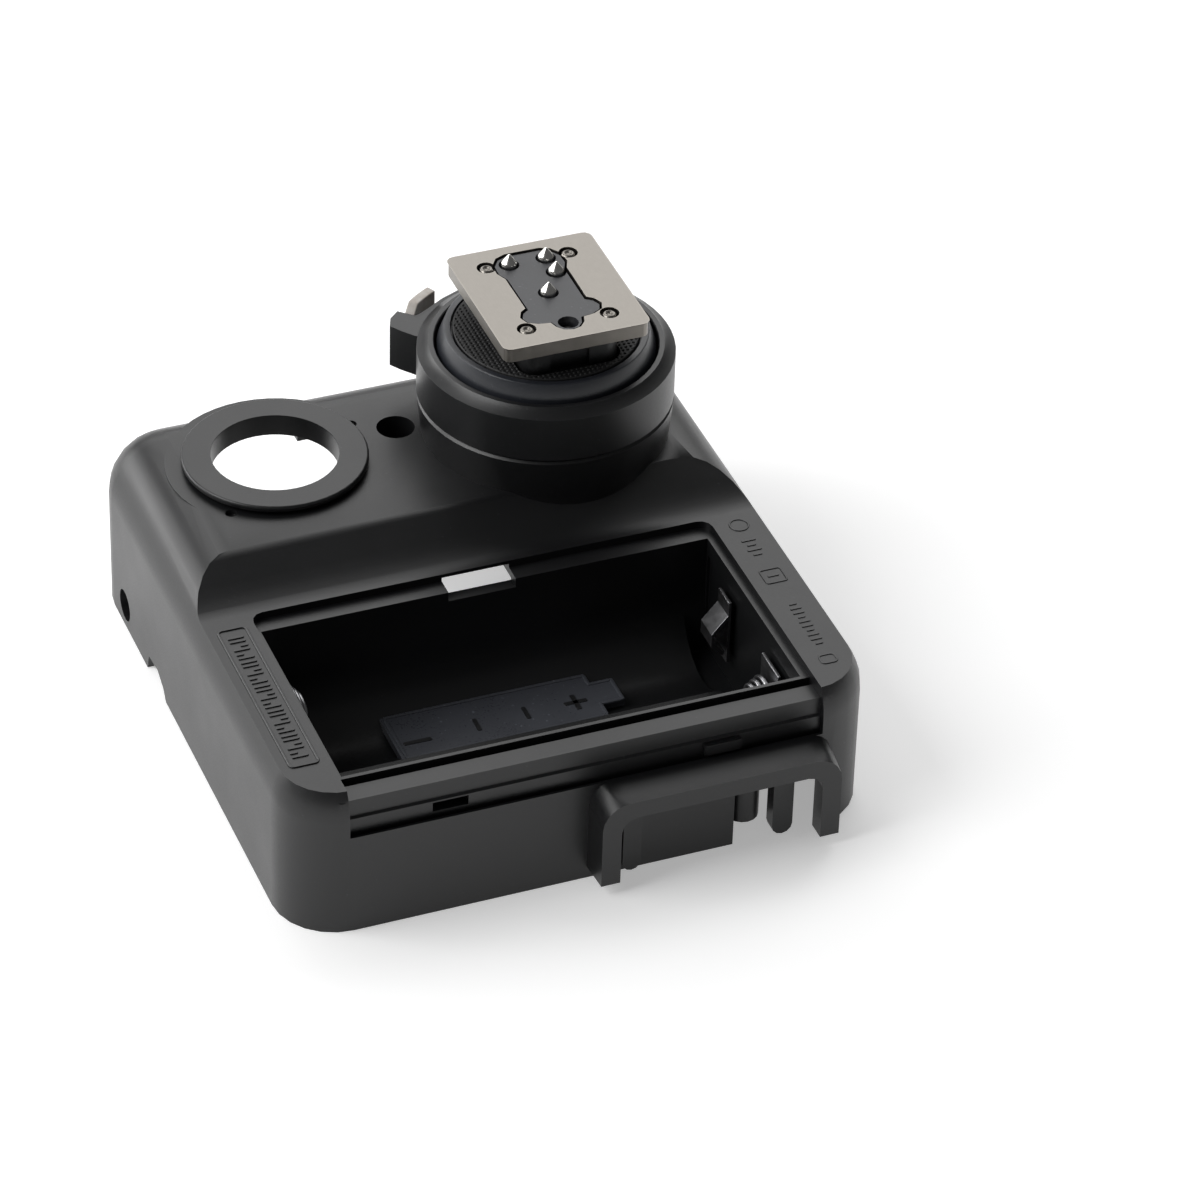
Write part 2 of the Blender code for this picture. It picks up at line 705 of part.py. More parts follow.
def rivets(axis):
    profile = [
        (0.5, PLATE_TOP - 0.02), (0.85, PLATE_TOP - 0.2), (0.85, PLATE_TOP - 1.4), (0.45, PLATE_TOP - 1.6),
        (0.45, 24.0), (1.1, 24.0), (1.1, 23.2), (0.9, 23.0),
    ]
    for i, place in enumerate(RIVETS, 1):
        solid("foot_rivet_%d" % i, pin_solid(profile, 12), axis, "nickel", (*place, 0))


def neck_screws(axis):
    for i, place in enumerate(polar([(30, 11.8), (150, 11.8), (270, 11.8)]), 1):
        screw("neck_screw_%d" % i, axis, place, (22.9, 24.0, 27.8), 1.3, 0.6)


# ---- lock ring and clamp ----


def lock_ring(axis):
    profile = [
        (12.7, 29.0), (15.9, 29.0), (15.9, 34.9), (15.0, 35.4), (14.5, 35.9), (13.9, 35.9), (13.75, 35.75),
        (13.75, 30.2), (12.7, 30.2),
    ]
    ring = solid("lock_ring", turned(profile, 56), axis, "ring")
    lever = polar([*LEVER_OUTLINE, *[(a, 15.2) for a in range(107, 148, 8)]])
    join(ring, "lever_top", prism(lever, 29.3, LEVER_TOP), axis)
    skirt = polar([*LEVER_OUTLINE[:5], (134.0, 16.3)])
    join(ring, "lever_skirt", prism(skirt, LEVER_BOTTOM, 30.0), axis)


def lever_pad(axis):
    """A curved tab on the lever, whose top slopes down at its outer corner."""
    steps = 5
    rings = []
    for z, first in ((29.6, 133.2), (33.6, 133.2), (34.9, 130.2)):
        turn = (first - 118.5) / steps
        outer = polar([(first - turn * i, 19.5) for i in range(steps + 1)])
        inner = polar([(118.5 + turn * i, 18.15) for i in range(steps + 1)])
        rings.append([(x, y, z) for x, y in [*outer, *inner]])
    solid("lever_pad", loft(rings), axis, "tab")


def shoe_opening():
    return rounded_rectangle(-6.55, 6.55, -9.55, 9.55, 2.3, 4)


def clamp_disc(axis):
    profile = [
        (4.0, 32.3), (13.45, 32.3), (13.45, 35.5), (12.6, 37.75), (12.5, 37.85), (11.8, 37.85), (11.8, 36.9),
        (4.0, 36.9),
    ]
    disc = solid("clamp_disc", turned(profile), axis, "disc")
    cut(disc, "disc_opening", prism(shoe_opening(), 20, 50), axis)
    pad_profile = [(4.0, 37.2), (11.5, 37.2), (11.5, 37.8), (11.3, 37.95), (4.0, 37.95)]
    pad = solid("grip_pad", turned(pad_profile), axis, "pad")
    cut(pad, "pad_opening", prism(shoe_opening(), 20, 50), axis)


def ring_clip(axis):
    profile = [(11.7, 30.7), (13.4, 30.7), (13.4, 31.2), (11.7, 31.2)]
    clip = solid("ring_clip", turned(profile, 40), axis, "steel")
    wedge = polar([(-20, 9.0), (-20, 20.0), (20, 20.0), (20, 9.0)])
    cut(clip, "clip_gap", prism(wedge, 28, 34), axis)


def main():
    clear_scene()
    datum = empty("datum", (-CASE_WIDTH / 2, -(CASE_DEPTH - ARCH_REACH) / 2, 0))
    axis = empty("tower_axis", (*TOWER, 0), datum)
    bottom_shell(datum)
    dial_seat_ring(datum)
    battery_contacts(datum)
    foot_neck(axis)
    foot_plate(axis)
    contact_insulator(axis)
    rivets(axis)
    neck_screws(axis)
    contact_board(axis)
    contact_pin("sync_pin", "sync_spring", SYNC_PIN, axis)
    for i, place in enumerate(DATA_PINS, 1):
        contact_pin("data_pin_%d" % i, "data_spring_%d" % i, place, axis)
    lock_pin(axis)
    ring_clip(axis)
    lock_ring(axis)
    lever_pad(axis)
    clamp_disc(axis)


main()
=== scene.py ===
import json
import math

import bmesh
import bpy
import numpy as np
from mathutils import Matrix, Vector

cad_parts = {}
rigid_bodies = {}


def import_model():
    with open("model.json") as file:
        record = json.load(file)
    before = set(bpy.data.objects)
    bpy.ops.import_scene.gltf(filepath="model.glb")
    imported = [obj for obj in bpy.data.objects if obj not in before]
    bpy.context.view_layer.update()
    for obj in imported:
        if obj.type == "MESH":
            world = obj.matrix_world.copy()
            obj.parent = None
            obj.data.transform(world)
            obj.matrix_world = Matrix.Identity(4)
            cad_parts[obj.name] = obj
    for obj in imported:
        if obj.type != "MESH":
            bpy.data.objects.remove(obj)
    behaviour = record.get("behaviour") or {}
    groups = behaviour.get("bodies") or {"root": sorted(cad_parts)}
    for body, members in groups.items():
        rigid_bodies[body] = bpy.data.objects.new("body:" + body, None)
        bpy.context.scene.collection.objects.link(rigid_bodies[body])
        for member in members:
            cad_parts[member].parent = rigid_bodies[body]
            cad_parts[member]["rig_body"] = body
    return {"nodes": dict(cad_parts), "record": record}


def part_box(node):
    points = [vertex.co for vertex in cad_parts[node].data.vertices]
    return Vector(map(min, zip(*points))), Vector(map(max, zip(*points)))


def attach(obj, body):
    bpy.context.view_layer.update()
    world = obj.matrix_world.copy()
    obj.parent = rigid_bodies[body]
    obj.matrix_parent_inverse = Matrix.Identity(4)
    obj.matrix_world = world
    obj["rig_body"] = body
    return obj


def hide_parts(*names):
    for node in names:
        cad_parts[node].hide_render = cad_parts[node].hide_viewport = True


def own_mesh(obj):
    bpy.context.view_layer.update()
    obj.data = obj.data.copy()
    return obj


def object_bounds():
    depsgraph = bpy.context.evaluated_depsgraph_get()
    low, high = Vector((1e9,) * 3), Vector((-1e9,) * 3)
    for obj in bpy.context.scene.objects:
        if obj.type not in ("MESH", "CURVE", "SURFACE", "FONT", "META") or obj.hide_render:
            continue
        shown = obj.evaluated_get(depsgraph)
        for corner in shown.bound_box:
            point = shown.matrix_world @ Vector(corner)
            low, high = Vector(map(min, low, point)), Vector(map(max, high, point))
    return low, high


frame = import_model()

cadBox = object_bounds()
scene = bpy.context.scene
nodes = frame["nodes"]
mm = 0.001

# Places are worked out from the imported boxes: the shell's left and front, whose hood reaches out, and the
# plate's middle, which the neck, the ring and the disc share.
shellLow = np.array(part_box("bottom_shell")[0]) / mm
plateLow, plateHigh = (np.array(corner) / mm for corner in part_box("foot_plate"))
hoodReach = 4.0
caseCorner = np.array([shellLow[0], shellLow[1] + hoodReach, 0.0])
towerAxis = np.array([*(plateLow[:2] + plateHigh[:2]) / 2, 0.0])
print("frame loaded:", len(nodes), "parts")


class Wire:
    # an output socket that can stand in a sum
    def __init__(self, finish, socket):
        self.finish = finish
        self.socket = socket

    def sum(self, operation, *values):
        return self.finish.add("Math", {"operation": operation}, dict(enumerate(values)))

    def __add__(self, other):
        return self.sum("ADD", self, other)

    def __radd__(self, other):
        return self.sum("ADD", other, self)

    def __sub__(self, other):
        return self.sum("SUBTRACT", self, other)

    def __rsub__(self, other):
        return self.sum("SUBTRACT", other, self)

    def __mul__(self, other):
        return self.sum("MULTIPLY", self, other)


class Finish:
    # one material, built round its Principled shader
    def __init__(self, name, colour, roughness, metallic=0.0, **constants):
        self.material = bpy.data.materials.new(name)
        self.material.use_nodes = True
        self.tree = self.material.node_tree
        self.shader = self.tree.nodes["Principled BSDF"]
        values = {"Base Color": (*colour, 1), "Roughness": roughness, "Metallic": metallic, **constants}
        for socket, value in values.items():
            self.shader.inputs[socket].default_value = value
        self.material.diffuse_color = (*colour, 1)

    def add(self, kind, settings=None, values=None, output=0):
        node = self.tree.nodes.new("ShaderNode" + kind)
        for key, value in (settings or {}).items():
            setattr(node, key, value)
        for key, value in (values or {}).items():
            self.link(value, node.inputs[key])
        return Wire(self, node.outputs[output])

    def link(self, value, socket):
        if isinstance(value, Wire):
            self.tree.links.new(value.socket, socket)
        else:
            socket.default_value = value

    def feed(self, **wires):
        for name, wire in wires.items():
            self.link(wire, self.shader.inputs[name.replace("_", " ")])

    def where(self, stretch=(1, 1, 1), turn=0.0):
        spot = self.add("TexCoord", output="Object")
        return self.add("Mapping", None, {0: spot, "Rotation": (0, 0, turn), "Scale": stretch})

    def noise(self, size, detail=2.0, roughness=0.5, stretch=(1, 1, 1), turn=0.0):
        # soft noise whose lumps are about size mm across
        place = self.where(stretch, turn)
        values = {"Vector": place, "Scale": 1 / (size * mm), "Detail": detail, "Roughness": roughness}
        return self.add("TexNoise", None, values)

    def cells(self, size, feature="F1"):
        # distance to the nearest of scattered points about size mm apart, or to the line between two of them
        values = {"Vector": self.where(), "Scale": 1 / (size * mm)}
        return self.add("TexVoronoi", {"feature": feature}, values, "Distance")

    def between(self, wire, low, high):
        # 0 below low, 1 above high, and a straight rise between them
        values = {"Value": wire, "From Min": low, "From Max": high}
        return self.add("MapRange", {"clamp": True}, values)

    def mix(self, factor, first, second):
        # the first colour where the factor is 0, the second where it is 1
        node = self.tree.nodes.new("ShaderNodeMix")
        node.data_type = "RGBA"
        firstSocket, secondSocket = (socket for socket in node.inputs if socket.type == "RGBA")
        self.link(factor, node.inputs[0])
        self.link(self.colourOf(first), firstSocket)
        self.link(self.colourOf(second), secondSocket)
        return Wire(self, next(socket for socket in node.outputs if socket.type == "RGBA"))

    def colourOf(self, value):
        return value if isinstance(value, Wire) else (*value, 1)

    def edges(self, width):
        # 1 at the piece's edges, fading to 0 over width mm: how far a rounded normal leans from the true one
        rounded = self.add("Bevel", {"samples": 4}, {"Radius": width * mm})
        true = self.add("NewGeometry", output="Normal")
        lean = self.add("VectorMath", {"operation": "DOT_PRODUCT"}, {0: rounded, 1: true}, "Value")
        return self.between(1 - lean, 0.0, 0.25)

    def bump(self, height, depth, normal=None):
        values = {"Height": height, "Distance": depth * mm, "Strength": 1.0}
        if normal is not None:
            values["Normal"] = normal
        return self.add("Bump", None, values)


def shade(colour, by):
    return tuple(min(1.0, c * by) for c in colour)


# Moulded plastics: a fine sparked grain, a faint cloudiness, pale dust and edges rubbed smooth and lighter.
# Grain, its depth and the rubbed edge's width are in mm; rub is how much lighter a rubbed edge is.
plastics = {
    "shell": {"colour": (0.0062, 0.0064, 0.0070), "roughness": 0.37,
              "grain": 0.20, "depth": 0.004, "edge": 0.35, "rub": 2.6},
    "ring": {"colour": (0.0075, 0.0078, 0.0085), "roughness": 0.36,
             "grain": 0.26, "depth": 0.003, "edge": 0.30, "rub": 3.0},
    "disc": {"colour": (0.018, 0.020, 0.025), "roughness": 0.33,
             "grain": 0.30, "depth": 0.002, "edge": 0.22, "rub": 3.2},
    "insulator": {"colour": (0.030, 0.031, 0.035), "roughness": 0.40,
                  "grain": 0.25, "depth": 0.003, "edge": 0.20, "rub": 2.2},
    "cellPlate": {"colour": (0.050, 0.053, 0.062), "roughness": 0.30,
                  "grain": 0.30, "depth": 0.002, "edge": 0.15, "rub": 2.5},
    "rubber": {"colour": (0.0055, 0.0055, 0.0060), "roughness": 0.62,
               "grain": 0.18, "depth": 0.006, "edge": 0.25, "rub": 2.0},
}
wear = {"cloudSize": 9.0, "cloudDark": 0.82, "cloudPale": 1.22, "dustSize": 0.45, "dustPatch": 5.0,
        "dustPale": 5.0, "dustShare": 0.5, "rubPatch": 2.2, "rubShare": 0.7}


def mouldedPlastic(name, look):
    finish = Finish(name, look["colour"], look["roughness"])
    cloud = finish.noise(wear["cloudSize"], 3.0, 0.6)
    grain = finish.noise(look["grain"], 2.0, 0.6)
    pits = finish.cells(look["grain"] * 1.7)
    specks = finish.between(finish.noise(wear["dustSize"], 1.0), 0.70, 0.78)
    dust = specks * finish.between(finish.noise(wear["dustPatch"]), 0.42, 0.62)
    patches = finish.between(finish.noise(wear["rubPatch"], 3.0), 0.25, 0.75)
    rubbed = finish.edges(look["edge"]) * patches
    base = look["colour"]
    colour = finish.mix(cloud, shade(base, wear["cloudDark"]), shade(base, wear["cloudPale"]))
    colour = finish.mix(rubbed * wear["rubShare"], colour, shade(base, look["rub"]))
    colour = finish.mix(dust * wear["dustShare"], colour, shade(base, wear["dustPale"]))
    roughness = look["roughness"] + (cloud - 0.5) * 0.10 + (grain - 0.5) * 0.16 - rubbed * 0.10
    height = grain * 0.7 + finish.between(pits, 0.0, 0.6) * 0.3
    finish.feed(Base_Color=colour, Roughness=roughness, Normal=finish.bump(height, look["depth"]))
    return finish.material


# Plated and plain metals: mottled plating, fine drawn lines, small pits, and edges lightened in colour as a
# painted highlight.
# Mottle, line, depth and edge are in mm; the last value is how much lighter the painted edge highlight is.
metals = {
    "nickel": {"colour": (0.25, 0.234, 0.212), "roughness": 0.36, "mottle": 1.3, "line": 0.10,
               "depth": 0.0016, "edge": 0.25, "paintedEdgeHighlight": 1.25},
    "pin": {"colour": (0.80, 0.79, 0.76), "roughness": 0.22, "mottle": 0.8, "line": 0.06,
            "depth": 0.0010, "edge": 0.15, "paintedEdgeHighlight": 1.15},
    "spring": {"colour": (0.34, 0.34, 0.35), "roughness": 0.34, "mottle": 1.1, "line": 0.08,
               "depth": 0.0012, "edge": 0.15, "paintedEdgeHighlight": 1.5},
}


def platedMetal(name, look):
    finish = Finish(name, look["colour"], look["roughness"], 1.0)
    mottle = finish.noise(look["mottle"], 4.0, 0.65)
    lines = finish.noise(look["line"], 1.0, 0.5, (1.0, 0.12, 1.0), 0.35)
    pits = finish.between(finish.cells(0.9), 0.0, 0.16)
    edge = finish.edges(look["edge"])
    colour = finish.mix(mottle, shade(look["colour"], 0.84), shade(look["colour"], 1.08))
    # painted highlight: the edges are mixed towards a lighter colour, standing in for glints along them
    colour = finish.mix(edge * 0.6, colour, shade(look["colour"], look["paintedEdgeHighlight"]))
    roughness = look["roughness"] + (mottle - 0.5) * 0.22 + (lines - 0.5) * 0.14 - edge * 0.08
    height = lines * 0.5 + mottle * 0.6 + pits * 0.5
    finish.feed(Base_Color=colour, Roughness=roughness, Normal=finish.bump(height, look["depth"]))
    return finish.material


# The lever's tab: pale plastic, worn brown in soft patches.
tab = {"pale": (0.47, 0.455, 0.43), "brown": (0.30, 0.245, 0.20), "roughness": 0.42}


def tabPlastic():
    finish = Finish("tabPlastic", tab["pale"], tab["roughness"])
    spread = finish.noise(1.6, 3.0, 0.6)
    streak = finish.noise(0.5, 2.0, 0.5, (1.0, 0.3, 1.0), 1.0)
    grain = finish.noise(0.12, 2.0)
    worn = finish.between(spread + streak * 0.3, 0.35, 1.05)
    colour = finish.mix(worn, tab["pale"], tab["brown"])
    roughness = tab["roughness"] + (spread - 0.5) * 0.2
    finish.feed(Base_Color=colour, Roughness=roughness, Normal=finish.bump(grain + streak, 0.006))
    return finish.material


# The small circuit board: woven laminate with paler tracks under its green coat.
board = {"mask": (0.010, 0.075, 0.030), "copper": (0.028, 0.14, 0.055), "roughness": 0.34}


def boardLaminate():
    finish = Finish("boardLaminate", board["mask"], board["roughness"])
    warp, weft = (finish.noise(0.3, 1.0, 0.5, stretch) for stretch in ((1.0, 0.2, 1.0), (0.2, 1.0, 1.0)))
    weave = warp + weft
    tracks = finish.between(finish.cells(2.2, "DISTANCE_TO_EDGE"), 0.08, 0.12)
    colour = finish.mix(tracks, board["copper"], board["mask"])
    roughness = board["roughness"] + (weave - 1.0) * 0.2
    height = weave * 0.3 + (1 - tracks) * 0.7
    finish.feed(Base_Color=colour, Roughness=roughness, Normal=finish.bump(height, 0.02))
    return finish.material


finishes = {
    "shell_plastic": mouldedPlastic("shellPlastic", plastics["shell"]),
    "ring_plastic": mouldedPlastic("ringPlastic", plastics["ring"]),
    "disc_plastic": mouldedPlastic("discPlastic", plastics["disc"]),
    "insulator_plastic": mouldedPlastic("insulatorPlastic", plastics["insulator"]),
    "grip_rubber": mouldedPlastic("gripRubber", plastics["rubber"]),
    "cell_plate": mouldedPlastic("cellPlatePlastic", plastics["cellPlate"]),
    "tab_plastic": tabPlastic(),
    "nickel_plate": platedMetal("nickelPlate", metals["nickel"]),
    "pin_metal": platedMetal("pinMetal", metals["pin"]),
    "spring_steel": platedMetal("springSteel", metals["spring"]),
    "board_laminate": boardLaminate(),
}
slotOf = {part["node"]: part["material_slot"] for part in frame["record"]["subparts"]}
print("finishes made:", len(finishes))


def setFinish(obj, material):
    obj.data.materials.clear()
    obj.data.materials.append(material)


for name, obj in nodes.items():
    setFinish(obj, finishes[slotOf[name]])


def roundCurves(obj, angle=32.0):
    obj.data.shade_smooth()
    obj.data.set_sharp_from_angle(angle=math.radians(angle))


def addPiece(name, mesh, body, slot, stands=()):
    obj = bpy.data.objects.new(name, mesh)
    scene.collection.objects.link(obj)
    setFinish(obj, finishes[slot])
    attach(obj, body)
    if stands:
        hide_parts(*stands)
    return obj


def settle(obj):
    # turns the modifiers' result into the object's own mesh
    graph = bpy.context.evaluated_depsgraph_get()
    made = bpy.data.meshes.new_from_object(obj.evaluated_get(graph))
    obj.modifiers.clear()
    obj.data = made


# For each moulded or stamped part: how much its edges are broken in mm, the steps in the round, its new name.
softEdges = {
    "bottom_shell": (0.16, 2, "caseShell"),
    "dial_seat_ring": (0.10, 2, "dialSeat"),
    "foot_neck": (0.12, 2, "footNeck"),
    "lock_ring": (0.12, 2, "lockCollar"),
    "clamp_disc": (0.08, 2, "clampDisc"),
    "foot_plate": (0.14, 3, "shoePlate"),
    "contact_insulator": (0.10, 2, "contactBlock"),
    "lever_pad": (0.18, 3, "leverTab"),
    "positive_leaf": (0.06, 2, "positiveLeaf"),
    "negative_plate": (0.08, 2, "negativePlate"),
    "bridge_contact": (0.08, 2, "bridgeStrip"),
    "contact_board": (0.05, 1, "contactBoard"),
    "ring_clip": (0.06, 1, "ringClip"),
}
bodyOf = {name: obj["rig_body"] for name, obj in nodes.items()}


def softened(node, width, steps, name):
    # a copy of a part with its sharp edges broken by a small round
    bm = bmesh.new()
    bm.from_mesh(nodes[node].data)
    bmesh.ops.remove_doubles(bm, verts=bm.verts, dist=0.002 * mm)
    flat = math.radians(0.6)
    bmesh.ops.dissolve_limit(bm, angle_limit=flat, verts=bm.verts, edges=bm.edges)
    mesh = bpy.data.meshes.new(name)
    bm.to_mesh(mesh)
    bm.free()
    obj = addPiece(name, mesh, bodyOf[node], slotOf[node], (node,))
    bevel = obj.modifiers.new("broken edges", "BEVEL")
    bevel.width = width * mm
    bevel.segments = steps
    bevel.limit_method = "ANGLE"
    bevel.angle_limit = math.radians(32)
    bevel.use_clamp_overlap = True
    bevel.miter_outer = "MITER_ARC"
    bpy.context.view_layer.update()
    settle(obj)
    roundCurves(obj)
    level = obj.modifiers.new("level faces", "WEIGHTED_NORMAL")
    level.keep_sharp = True
    level.weight = 80
    bpy.context.view_layer.update()
    settle(obj)
    return obj


for node, (width, steps, name) in softEdges.items():
    piece = softened(node, width, steps, name)
    print(name, len(piece.data.polygons), "faces")


# The surfaces below are grids of points in mm, measured from the case's front left corner.
def gridFaces(rows, columns):
    # quads of a grid whose rows and columns both close on themselves
    r, c = np.meshgrid(np.arange(rows), np.arange(columns), indexing="ij")
    nextRow, nextColumn = (r + 1) % rows, (c + 1) % columns
    here, across = r * columns, nextRow * columns
    corners = [here + c, here + nextColumn, across + nextColumn, across + c]
    return np.stack(corners, -1).reshape(-1, 4)


def buildMesh(name, points, faces):
    mesh = bpy.data.meshes.new(name)
    metres = (np.asarray(points) + caseCorner) * mm
    mesh.from_pydata(metres.tolist(), [], [list(face) for face in faces])
    bm = bmesh.new()
    bm.from_mesh(mesh)
    bmesh.ops.remove_doubles(bm, verts=bm.verts, dist=0.001 * mm)
    bmesh.ops.recalc_face_normals(bm, faces=bm.faces)
    bm.to_mesh(mesh)
    bm.free()
    return mesh


def stack(rings):
    # a closed solid through rings of equal count: walls between neighbours, and a flat cap at each end
    rings = np.asarray(rings, float)
    rows, columns = rings.shape[:2]
    faces = gridFaces(rows, columns)[: (rows - 1) * columns].tolist()
    faces += [list(range(columns))[::-1], list(range((rows - 1) * columns, rows * columns))]
    return rings.reshape(-1, 3), faces


def joined(parts):
    points, faces, start = [], [], 0
    for somePoints, someFaces in parts:
        points.append(somePoints)
        faces += [[index + start for index in face] for face in someFaces]
        start += len(somePoints)
    return np.concatenate(points), faces


def roundedBox(width, length, radius, steps=6):
    # outline of a rectangle with round corners: a corner's centre plus its radius along the turn
    quarter = np.linspace(0, math.pi / 2, steps + 1)
    outline = []
    for side, (sx, sy) in enumerate(((1, 1), (-1, 1), (-1, -1), (1, -1))):
        turn = quarter + side * math.pi / 2
        centre = (sx * (width / 2 - radius), sy * (length / 2 - radius))
        outline.append(np.stack([centre[0] + radius * np.cos(turn), centre[1] + radius * np.sin(turn)], -1))
    return np.concatenate(outline)


def placed(outline, centre, turn=0.0):
    c, s = math.cos(turn), math.sin(turn)
    return outline @ np.array([[c, s], [-s, c]]) + np.asarray(centre)


def raised(outline, foot, height, draft=0.05):
    # a low mark: its outline rises to its height and draws in by the draft on the way, its rim eased
    middle = outline.mean(0)
    reach = np.linalg.norm(outline - middle, axis=1, keepdims=True)
    rings = []
    for inward, up in ((0.0, 0.0), (0.4, 0.75), (1.2, 1.0)):
        by = draft * inward
        flat = middle + (outline - middle) * (1 - by / np.maximum(reach, by * 1.5))
        rings.append(np.column_stack([flat, np.full(len(flat), foot + height * up)]))
    return stack(rings)


def ridge(outline, foot, height, width):
    # a low rib along a closed outline: at each point, its section stands along the outline's normal
    along = np.roll(outline, -1, 0) - np.roll(outline, 1, 0)
    side = np.stack([along[:, 1], -along[:, 0]], -1) / np.linalg.norm(along, axis=1, keepdims=True)
    section = [(-0.5, 0.0), (-0.42, 0.75), (-0.26, 1.0), (0.26, 1.0), (0.42, 0.75), (0.5, 0.0)]
    rings = []
    for across, up in section:
        flat = outline + side * across * width
        rings.append(np.column_stack([flat, np.full(len(flat), foot + up * height)]))
    rings = np.asarray(rings)
    return rings.reshape(-1, 3), gridFaces(len(section), len(outline)).tolist()


def lathe(profile, steps, centre=(0.0, 0.0)):
    # a closed (radius, height) section carried round a vertical axis
    profile = np.asarray(profile, float)
    angles = np.arange(steps) * math.tau / steps
    r, z = profile[:, :1], profile[:, 1:]
    x, y = centre[0] + r * np.cos(angles), centre[1] + r * np.sin(angles)
    surface = np.stack([x, y, z + 0 * angles], -1)
    return surface.reshape(-1, 3), gridFaces(len(profile), steps).tolist()


def wireTube(path, radius, around=10):
    # a round wire: at each path point, a circle in the plane of the point's normal and binormal
    path = np.asarray(path, float)
    along = np.gradient(path, axis=0)
    along /= np.linalg.norm(along, axis=1, keepdims=True)
    upright = np.abs(along[:, 2:]) > 0.9
    normal = np.cross(along, np.where(upright, [[1.0, 0.0, 0.0]], [[0.0, 0.0, 1.0]]))
    normal /= np.linalg.norm(normal, axis=1, keepdims=True)
    binormal = np.cross(along, normal)
    turn = (np.arange(around) * math.tau / around)[None, :, None]
    rings = path[:, None] + radius * (normal[:, None] * np.cos(turn) + binormal[:, None] * np.sin(turn))
    return stack(rings)


# Height of the deck beside the window, and how far each mark's foot is sunk into it.
lowDeck = 19.9
sunk = 0.05
axisPlace = towerAxis - caseCorner

# The panel on the narrow deck at the left: a plain rib frame round rows of plain strokes.
leftPanel = {
    "centre": (4.15, 20.9), "width": 3.5, "length": 27.2, "corner": 0.55, "rib": 0.34, "ribHeight": 0.15,
    "rows": 15, "endGap": 1.3, "long": 2.05, "short": 1.0, "strokeWide": 0.34, "strokeHeight": 0.13,
    # each row is a long stroke and, after it, a long one or a short one at either side
    "before": 0.24, "after": 0.22,
}


def makeLeftPanel():
    look = leftPanel
    middleX, middleY = look["centre"]
    outline = placed(roundedBox(look["width"], look["length"], look["corner"]), look["centre"])
    frameRib = ridge(outline, lowDeck - sunk, look["ribHeight"] + sunk, look["rib"])
    addPiece("leftPanelFrame", buildMesh("leftPanelFrame", *frameRib), "root", "shell_plastic")
    pitch = (look["length"] - 2 * look["endGap"]) / look["rows"]
    aside = (look["long"] - look["short"]) / 2
    seconds = ((0.0, look["long"]), (aside, look["short"]), (-aside, look["short"]))
    wide = look["strokeWide"]
    parts = []
    for i in range(look["rows"]):
        y = middleY + look["length"] / 2 - look["endGap"] - pitch * (i + 0.5)
        x, length = seconds[i % 3]
        strokes = ((0.0, -look["before"], look["long"]), (x, look["after"], length))
        for offset, step, long in strokes:
            stroke = placed(roundedBox(long, wide, wide * 0.45, 3), (middleX + offset, y + pitch * step))
            parts.append(raised(stroke, lowDeck - sunk, look["strokeHeight"] + sunk))
    addPiece("leftPanelMarks", buildMesh("leftPanelMarks", *joined(parts)), "root", "shell_plastic")


# Plain moulded marks on the deck at the right: a ring, a framed bar, two rows of strokes and a small frame.
rightMarks = {
    "middle": 69.0, "height": 0.09, "rib": 0.26, "ringAt": 34.2, "ringRadius": 1.15,
    "squareAt": 23.3, "square": 2.7, "bar": (1.5, 0.30), "frameAt": 6.0, "frame": (2.0, 1.6),
    # each row: its first stroke's place along the deck, the step between strokes, their number and width,
    # the lengths they take in turn, and how far the row stands left of the middle
    "rows": [(30.9, 1.0, 4, 0.28, (1.9, 1.2), 0.1), (17.2, 0.9, 10, 0.24, (1.0, 1.5, 1.5), 0.0)],
}


def makeRightMarks():
    look = rightMarks
    x, rib, high = look["middle"], look["rib"], look["height"] + sunk
    foot = lowDeck - sunk
    circle = roundedBox(2.0, 2.0, 0.999, 10)
    square = roundedBox(look["square"], look["square"], 0.35, 4)
    parts = [
        ridge(placed(circle * look["ringRadius"], (x, look["ringAt"])), foot, high, rib),
        ridge(placed(square, (x, look["squareAt"])), foot, high, rib),
        raised(placed(roundedBox(*look["bar"], 0.12, 3), (x, look["squareAt"])), foot, high),
    ]
    for start, step, count, wide, lengths, left in look["rows"]:
        for i in range(count):
            stroke = roundedBox(lengths[i % len(lengths)], wide, wide / 2 - 0.02, 3)
            parts.append(raised(placed(stroke, (x - left, start - i * step)), foot, high))
    frameOutline = placed(roundedBox(*look["frame"], 0.5, 5), (x - 0.2, look["frameAt"]))
    parts.append(ridge(frameOutline, foot, high, rib))
    addPiece("rightDeckMarks", buildMesh("rightDeckMarks", *joined(parts)), "root", "shell_plastic")


# The cell-shaped plate raised on the bay's floor, with a rim, a minus, a plus and two plain strokes.
cellPlate = {
    "left": 21.5, "right": 47.9, "front": 22.4, "back": 30.9, "top": 4.62, "foot": 3.6,
    "nubRight": 50.9, "nubFront": 24.9, "nubBack": 29.0,
    # rimInset is how far the rim's line lies inside the edge, as a share of the way to the middle
    "rim": 0.5, "rimHeight": 0.16, "rimInset": 1 / 36, "rimSteps": 8,
    # each bar: its middle, width and length; a minus, the two bars of a plus, and two strokes
    "signs": [((24.4, 25.3), 3.6, 0.62), ((45.0, 26.2), 3.0, 0.62), ((45.0, 26.2), 0.62, 3.0),
              ((32.2, 26.0), 0.55, 2.4), ((38.6, 26.2), 0.55, 2.4)],
    "signHeight": 0.08,
}


